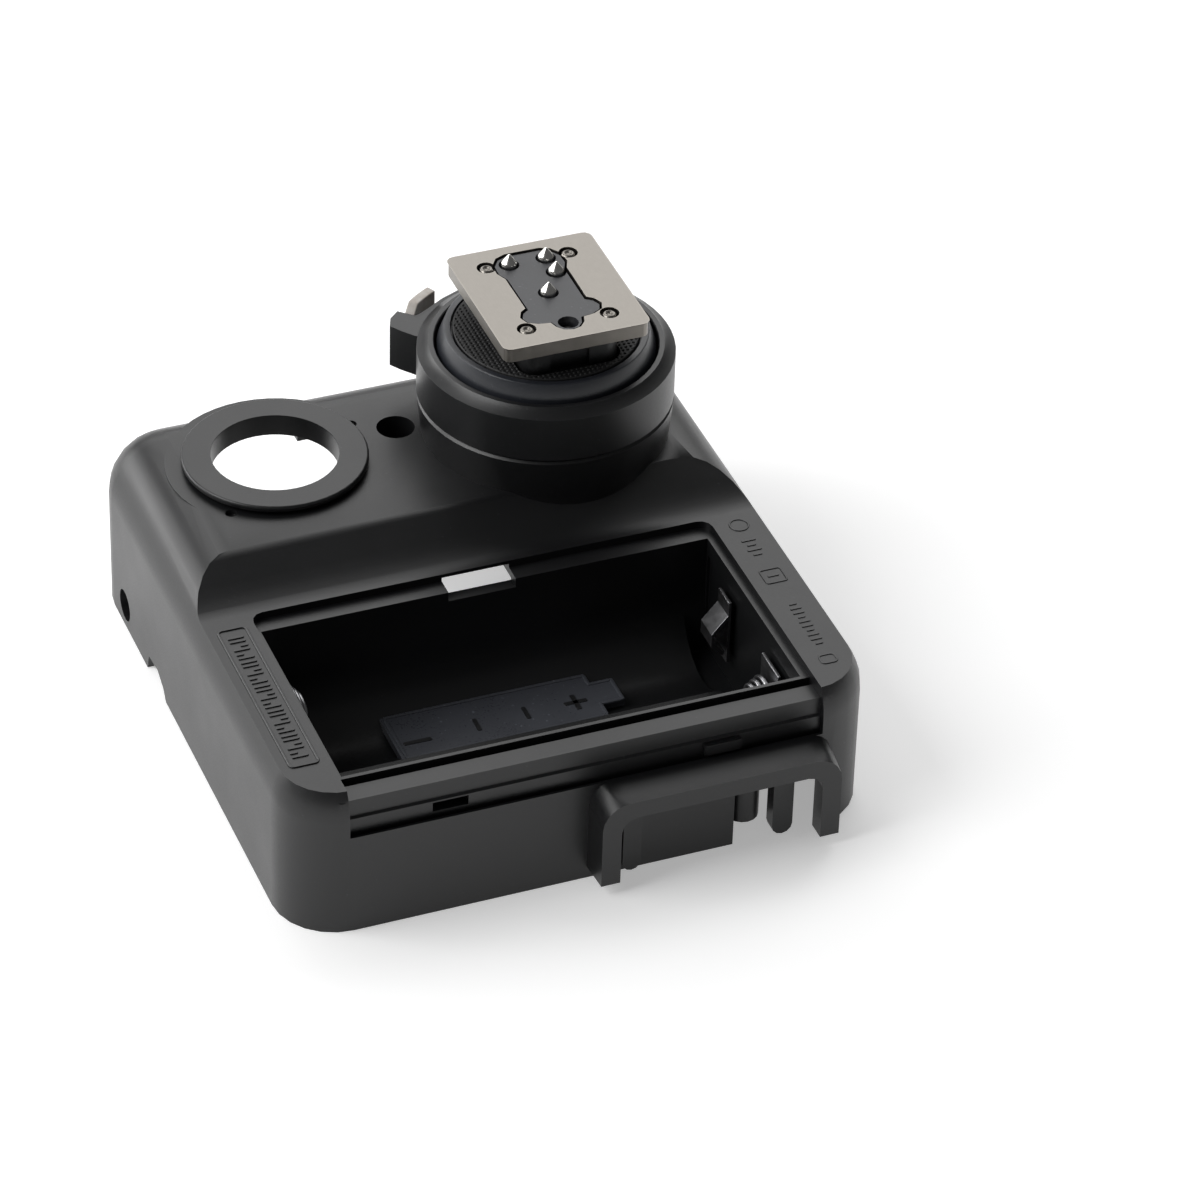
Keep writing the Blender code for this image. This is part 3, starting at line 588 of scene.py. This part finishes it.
def makeCellPlate():
    look = cellPlate
    left, right, front, back = (look[key] for key in ("left", "right", "front", "back"))
    nubRight, nubFront, nubBack = (look[key] for key in ("nubRight", "nubFront", "nubBack"))
    outline = np.array([
        (left, front), (right, front), (right, nubFront), (nubRight, nubFront),
        (nubRight, nubBack), (right, nubBack), (right, back), (left, back),
    ])
    levels = (look["foot"], look["top"])
    slab = stack([np.column_stack([outline, np.full(len(outline), z)]) for z in levels])
    plate = addPiece("cellPlate", buildMesh("cellPlate", *slab), "root", "disc_plastic")
    inner = outline + (outline.mean(0) - outline) * look["rimInset"]
    ends = np.roll(inner, -1, 0)
    dense = np.linspace(inner, ends, look["rimSteps"], endpoint=False).swapaxes(0, 1).reshape(-1, 2)
    rim = ridge(dense, look["top"] - sunk, look["rimHeight"] + sunk, look["rim"])
    rimPiece = addPiece("cellPlateRim", buildMesh("cellPlateRim", *rim), "root", "disc_plastic")
    for piece in (plate, rimPiece):
        setFinish(piece, finishes["cell_plate"])
    # The signs are raised strokes in the near-black shell finish: painted shade, standing in for the shadow
    # inside engraved recesses.
    bars = [placed(roundedBox(wide, long, 0.12, 2), middle) for middle, wide, long in look["signs"]]
    parts = [raised(bar, look["top"] - sunk, look["signHeight"] + sunk) for bar in bars]
    addPiece("cellPlateSigns", buildMesh("cellPlateSigns", *joined(parts)), "root", "shell_plastic")


# The rubber pad inside the clamp disc, its top pressed with rows of small round dimples.
gripPad = {
    "outer": 11.5, "halfWidth": 6.55, "halfLength": 9.55, "corner": 2.3, "foot": 37.2, "top": 37.95,
    "pitch": 0.62, "dimple": 0.20, "depth": 0.22, "rim": 0.4, "easedRim": 0.15, "easedBy": 0.12,
    "turns": 900, "rows": 84,
}


def makeGripPad():
    look = gripPad
    angles = np.arange(look["turns"]) * math.tau / look["turns"]
    direction = np.stack([np.cos(angles), np.sin(angles)], -1)
    ahead = np.abs(direction)
    half = np.array([look["halfWidth"], look["halfLength"]])
    corner = half - look["corner"]
    # the opening's reach: the straight side's distance, or the corner circle's where that is nearer
    side = (half / np.maximum(ahead, 1e-6)).min(1)
    along = ahead @ corner
    off = corner @ corner - look["corner"] ** 2
    cornerReach = along + np.sqrt(np.maximum(along ** 2 - off, 0))
    inCorner = (ahead * side[:, None] > corner).all(1)
    inner = np.where(inCorner, np.minimum(cornerReach, side), side)
    width = look["outer"] - inner
    share = np.linspace(0, 1, look["rows"])[:, None]
    radius = inner + width * share
    x, y = radius * direction[:, 0], radius * direction[:, 1]
    # dimples: a round pit at each crossing of a square lattice, its depth falling off as the distance squared
    fromPit = [(v / look["pitch"] - np.round(v / look["pitch"])) * look["pitch"] for v in (x, y)]
    pit = np.clip(1 - (fromPit[0] ** 2 + fromPit[1] ** 2) / look["dimple"] ** 2, 0, 1)
    # pits fade out towards both rims, and each rim is rounded down by the square of its nearness
    inset = np.minimum(share, 1 - share) * width
    z = look["top"] - look["depth"] * pit * np.clip(inset / look["rim"], 0, 1)
    z = z - look["easedBy"] * np.clip(1 - inset / look["easedRim"], 0, 1) ** 2
    top = np.stack([x, y, z], -1)
    foot = np.stack([x[[-1, 0]], y[[-1, 0]], np.full((2, look["turns"]), look["foot"])], -1)
    rings = np.concatenate([top, foot]) + axisPlace * (1, 1, 0)
    mesh = buildMesh("gripPad", rings.reshape(-1, 3), gridFaces(len(rings), look["turns"]).tolist())
    roundCurves(addPiece("gripPad", mesh, "clamp", "grip_rubber", ("grip_pad",)), 40)


# Springs: the piece's name, wire radius, coil radii at both ends, turns, and the axis it runs along.
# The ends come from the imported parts' own boxes.
springs = {
    "back_cell_spring": ("backCellSpring", 0.35, (3.7, 2.4), 2.5, 0),
    "front_cell_spring": ("frontCellSpring", 0.30, (1.5, 2.4), 2.5, 0),
    "sync_spring": ("syncSpring", 0.14, (0.85, 0.85), 5, 2),
    "data_spring_1": ("dataSpring1", 0.14, (0.85, 0.85), 5, 2),
    "data_spring_2": ("dataSpring2", 0.14, (0.85, 0.85), 5, 2),
    "data_spring_3": ("dataSpring3", 0.14, (0.85, 0.85), 5, 2),
    "lock_pin_spring": ("lockPinSpring", 0.14, (0.85, 0.85), 4, 2),
}

# The joint that presses each contact's spring, over the pin's 0.8 mm travel.
# These springs are given a mesh of their own.
pressedBy = {"sync_spring": "sync_contact"} | {f"data_spring_{i}": f"data_contact_{i}" for i in (1, 2, 3)}


def ownBox(node):
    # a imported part's box in mm from the case's corner
    return [np.array(corner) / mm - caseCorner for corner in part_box(node)]


def makeSprings():
    for node, (name, wire, radii, turns, axis) in springs.items():
        low, high = ownBox(node)
        middle = (low + high) / 2
        t = np.linspace(0, 1, int(turns * 36))
        angle = math.tau * turns * t
        # a helix: an even rise along the axis, and across it a circle whose radius changes evenly
        rise = low[axis] + wire + (high[axis] - low[axis] - 2 * wire) * t
        radius = radii[0] + (radii[1] - radii[0]) * t
        ahead, aside = radius * np.cos(angle), radius * np.sin(angle)
        if axis == 0:
            path = np.stack([rise, middle[1] + ahead, middle[2] + aside], -1)
        else:
            path = np.stack([middle[0] + ahead, middle[1] + aside, rise], -1)
        mesh = buildMesh(name, *wireTube(path, wire * 0.98))
        obj = addPiece(name, mesh, bodyOf[node], slotOf[node], (node,))
        roundCurves(obj, 60)
        if node in pressedBy:
            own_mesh(obj)


# Turned pins: each one's name and section. A section is radius and height, from the tip down the outside.
pins = {
    "sync_pin": ("syncPin", "contact"),
    "data_pin_1": ("dataPin1", "contact"),
    "data_pin_2": ("dataPin2", "contact"),
    "data_pin_3": ("dataPin3", "contact"),
    "lock_pin": ("lockPin", "lock"),
    "foot_rivet_1": ("footRivet1", "rivet"),
    "foot_rivet_2": ("footRivet2", "rivet"),
    "foot_rivet_3": ("footRivet3", "rivet"),
    "foot_rivet_4": ("footRivet4", "rivet"),
}
pinSections = {
    # a rounded cone on a plain shank with a collar
    "contact": [
        (0.0, 44.5), (0.10, 44.47), (0.18, 44.38), (0.55, 43.92), (0.86, 43.52), (0.95, 43.40),
        (0.99, 43.25), (1.0, 43.05), (1.0, 38.95), (1.02, 38.90), (1.20, 38.90), (1.25, 38.85),
        (1.25, 37.65), (1.20, 37.60), (0.0, 37.60),
    ],
    # a round-edged shank with a collar
    "lock": [
        (0.0, 42.0), (0.45, 42.0), (0.62, 41.95), (0.80, 41.82), (0.88, 41.70), (0.90, 41.50),
        (0.90, 36.65), (0.95, 36.60), (1.20, 36.60), (1.25, 36.55), (1.25, 35.25), (1.20, 35.20),
        (0.0, 35.20),
    ],
    # a rolled head, dished in the middle, on a long shank with a foot
    "rivet": [
        (0.0, 42.86), (0.16, 42.88), (0.30, 42.97), (0.42, 43.08), (0.52, 43.13), (0.62, 43.12),
        (0.76, 43.02), (0.85, 42.90), (0.85, 41.80), (0.45, 41.56), (0.45, 24.0), (1.05, 24.0),
        (1.10, 23.95), (1.10, 23.25), (0.90, 23.0), (0.0, 23.0),
    ],
}


def makePins():
    for node, (name, kind) in pins.items():
        low, high = ownBox(node)
        mesh = buildMesh(name, *lathe(pinSections[kind], 40, (low + high) / 2))
        roundCurves(addPiece(name, mesh, bodyOf[node], slotOf[node], (node,)), 30)


makeLeftPanel()
makeRightMarks()
makePins()
makeCellPlate()
makeGripPad()
makeSprings()
print("marks, pad and springs made")


# A pale floor and three soft panels.
studio = {
    "floorSize": 3.0,
    "floorColour": (0.86, 0.86, 0.86),
    "floorGlow": 0.36,
    "roomGlow": 0.10,
    # each panel: its direction from the object, distance, width and height in metres, and radiance
    "panels": {
        "backPanel": ((0.33, 0.85, 0.80), 1.0, 1.3, 1.0, 1.95),
        "leftPanel": ((-0.70, 0.66, 0.25), 1.0, 0.8, 0.4, 5.0),
        "sideLamp": ((-1.00, 0.10, 0.90), 0.9, 0.6, 0.6, 4.9),
    },
}


def makeFloor():
    half = studio["floorSize"] / 2
    mesh = bpy.data.meshes.new("floor")
    corners = [(-half, -half, 0), (half, -half, 0), (half, half, 0), (-half, half, 0)]
    mesh.from_pydata(corners, [], [(0, 1, 2, 3)])
    floor = bpy.data.objects.new("floor", mesh)
    floor.location.z = cadBox[0][2] - 0.02 * mm
    scene.collection.objects.link(floor)
    finish = Finish("floorPaper", studio["floorColour"], 0.9)
    finish.shader.inputs["Specular IOR Level"].default_value = 0.0
    finish.shader.inputs["Emission Color"].default_value = (1, 1, 1, 1)
    finish.shader.inputs["Emission Strength"].default_value = studio["floorGlow"]
    setFinish(floor, finish.material)


def makeLights():
    middle = (Vector(cadBox[0]) + Vector(cadBox[1])) / 2
    for name, (direction, distance, width, height, radiance) in studio["panels"].items():
        light = bpy.data.lights.new(name, "AREA")
        light.shape = "RECTANGLE"
        light.size, light.size_y = width, height
        light.energy = radiance * math.pi * width * height
        obj = bpy.data.objects.new(name, light)
        aim = Vector(direction).normalized()
        obj.location = middle + aim * distance
        obj.rotation_euler = aim.to_track_quat("Z", "Y").to_euler()
        scene.collection.objects.link(obj)
    world = bpy.data.worlds.new("studio")
    world.use_nodes = True
    background = world.node_tree.nodes["Background"]
    background.inputs["Color"].default_value = (1, 1, 1, 1)
    background.inputs["Strength"].default_value = studio["roomGlow"]
    scene.world = world


# Angles in degrees, distance and target in mm.
cameraLook = {"azimuth": -22.303, "elevation": 36.865, "roll": 1.863, "distance": 683.127, "lens": 167.34,
              "target": (15.961, 1.504, 9.934)}


def makeCamera():
    a, e, r = (math.radians(cameraLook[key]) for key in ("azimuth", "elevation", "roll"))
    back = Vector((math.sin(a) * math.cos(e), -math.cos(a) * math.cos(e), math.sin(e)))
    right = Vector((math.cos(a), math.sin(a), 0))
    up = back.cross(right)
    tiltedRight = right * math.cos(r) + up * math.sin(r)
    tiltedUp = up * math.cos(r) - right * math.sin(r)
    data = bpy.data.cameras.new("camera")
    data.lens = cameraLook["lens"]
    data.sensor_width = 36.0
    data.clip_start, data.clip_end = 0.01, 20.0
    obj = bpy.data.objects.new("camera", data)
    turn = Matrix((tiltedRight, tiltedUp, back)).transposed()
    place = (Vector(cameraLook["target"]) + back * cameraLook["distance"]) * mm
    obj.matrix_world = Matrix.Translation(place) @ turn.to_4x4()
    scene.collection.objects.link(obj)
    scene.camera = obj


makeFloor()
makeLights()
makeCamera()
scene.view_settings.view_transform = "Standard"
print("floor, lights and camera set")
